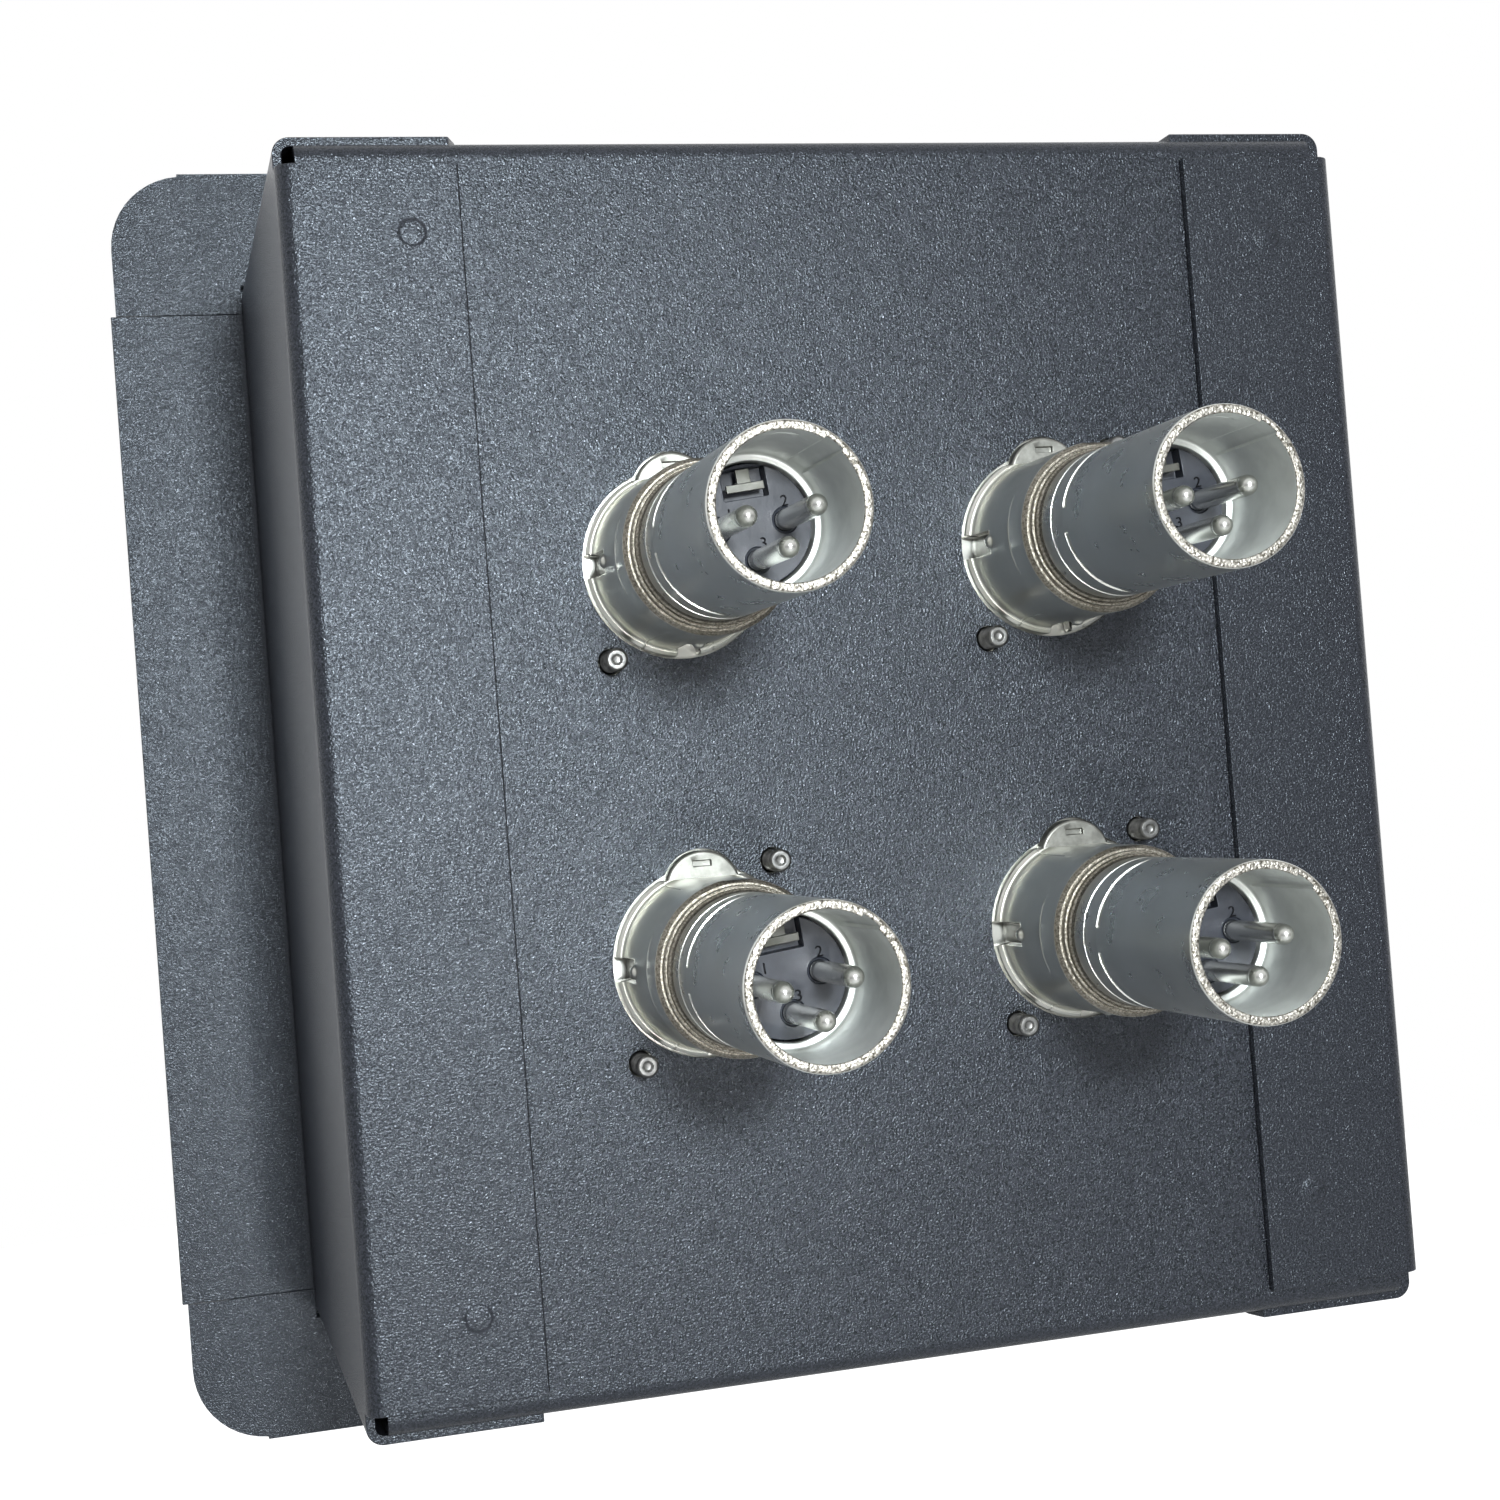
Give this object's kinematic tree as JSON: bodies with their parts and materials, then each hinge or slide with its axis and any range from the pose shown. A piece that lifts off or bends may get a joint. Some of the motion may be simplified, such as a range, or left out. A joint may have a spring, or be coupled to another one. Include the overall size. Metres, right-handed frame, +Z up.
{
  "type": "recessed audio connector box",
  "caption": "Recessed wall box of folded steel with through connectors in its rear plate and a hinged cover with cable slots.",
  "frame": {"origin": "centre of the four mounting holes, in the flange's rear face, which lies on the wall", "axes": "+Y into the wall, along the connectors; +Z up; +X to the right seen from the front"},
  "size_m": [0.1824, 0.1427, 0.196],
  "materials": {
    "powder_coat": "fine textured black powder coat",
    "nickel_bright": "nickel plate, turned and blasted",
    "nickel_satin": "satin nickel on die casting",
    "contact_plate": "polished silver plate",
    "spring_steel": "drawn wire",
    "zinc_plate": "zinc plate",
    "blue_black_plastic": "moulded, satin",
    "rubber": "matte"
  },
  "bodies": {
    "box": {"channel": "powder_coat", "cheek_left": "powder_coat", "cheek_right": "powder_coat", "flap_rivets": "powder_coat", "bumpers": "rubber", "hinge_leaf_fixed": "zinc_plate", "hinge_pin": "zinc_plate", "flange_rivets": "zinc_plate", "xlr1_housing": "nickel_satin", "xlr1_barrel": "nickel_bright", "xlr1_male_insert": "blue_black_plastic", "xlr1_female_insert": "blue_black_plastic", "xlr1_contacts": "contact_plate", "xlr1_ground_contact": "contact_plate", "xlr1_latch_spring": "spring_steel", "xlr1_screws": "zinc_plate", "xlr2_housing": "nickel_satin", "xlr2_barrel": "nickel_bright", "xlr2_male_insert": "blue_black_plastic", "xlr2_female_insert": "blue_black_plastic", "xlr2_contacts": "contact_plate", "xlr2_ground_contact": "contact_plate", "xlr2_latch_spring": "spring_steel", "xlr2_screws": "zinc_plate", "xlr3_housing": "nickel_satin", "xlr3_barrel": "nickel_bright", "xlr3_male_insert": "blue_black_plastic", "xlr3_female_insert": "blue_black_plastic", "xlr3_contacts": "contact_plate", "xlr3_ground_contact": "contact_plate", "xlr3_latch_spring": "spring_steel", "xlr3_screws": "zinc_plate", "xlr4_housing": "nickel_satin", "xlr4_barrel": "nickel_bright", "xlr4_male_insert": "blue_black_plastic", "xlr4_female_insert": "blue_black_plastic", "xlr4_contacts": "contact_plate", "xlr4_ground_contact": "contact_plate", "xlr4_latch_spring": "spring_steel", "xlr4_screws": "zinc_plate"},
    "cover": {"cover": "powder_coat", "cable_trims": "rubber", "hinge_leaf_moving": "zinc_plate", "cover_rivets": "zinc_plate"},
    "latch1": {"xlr1_latch": "nickel_bright"},
    "latch2": {"xlr2_latch": "nickel_bright"},
    "latch3": {"xlr3_latch": "nickel_bright"},
    "latch4": {"xlr4_latch": "nickel_bright"}
  },
  "joints": [
    {"name": "cover_hinge", "type": "hinge", "parent": "box", "child": "cover", "pos_m": [0, -0.004, 0.0845], "axis": [-1, 0, 0], "range_deg": [0, 170]},
    {"name": "latch1_press", "type": "slide", "parent": "box", "child": "latch1", "axis": [0, 1, 0], "range_m": [0, 0.002], "stiffness_N_per_m": 1000, "springref_m": -0.001, "deforming": ["xlr1_latch_spring"]},
    {"name": "latch2_press", "type": "slide", "parent": "box", "child": "latch2", "axis": [0, 1, 0], "range_m": [0, 0.002], "stiffness_N_per_m": 1000, "springref_m": -0.001, "deforming": ["xlr2_latch_spring"]},
    {"name": "latch3_press", "type": "slide", "parent": "box", "child": "latch3", "axis": [0, 1, 0], "range_m": [0, 0.002], "stiffness_N_per_m": 1000, "springref_m": -0.001, "deforming": ["xlr3_latch_spring"]},
    {"name": "latch4_press", "type": "slide", "parent": "box", "child": "latch4", "axis": [0, 1, 0], "range_m": [0, 0.002], "stiffness_N_per_m": 1000, "springref_m": -0.001, "deforming": ["xlr4_latch_spring"]}
  ]
}
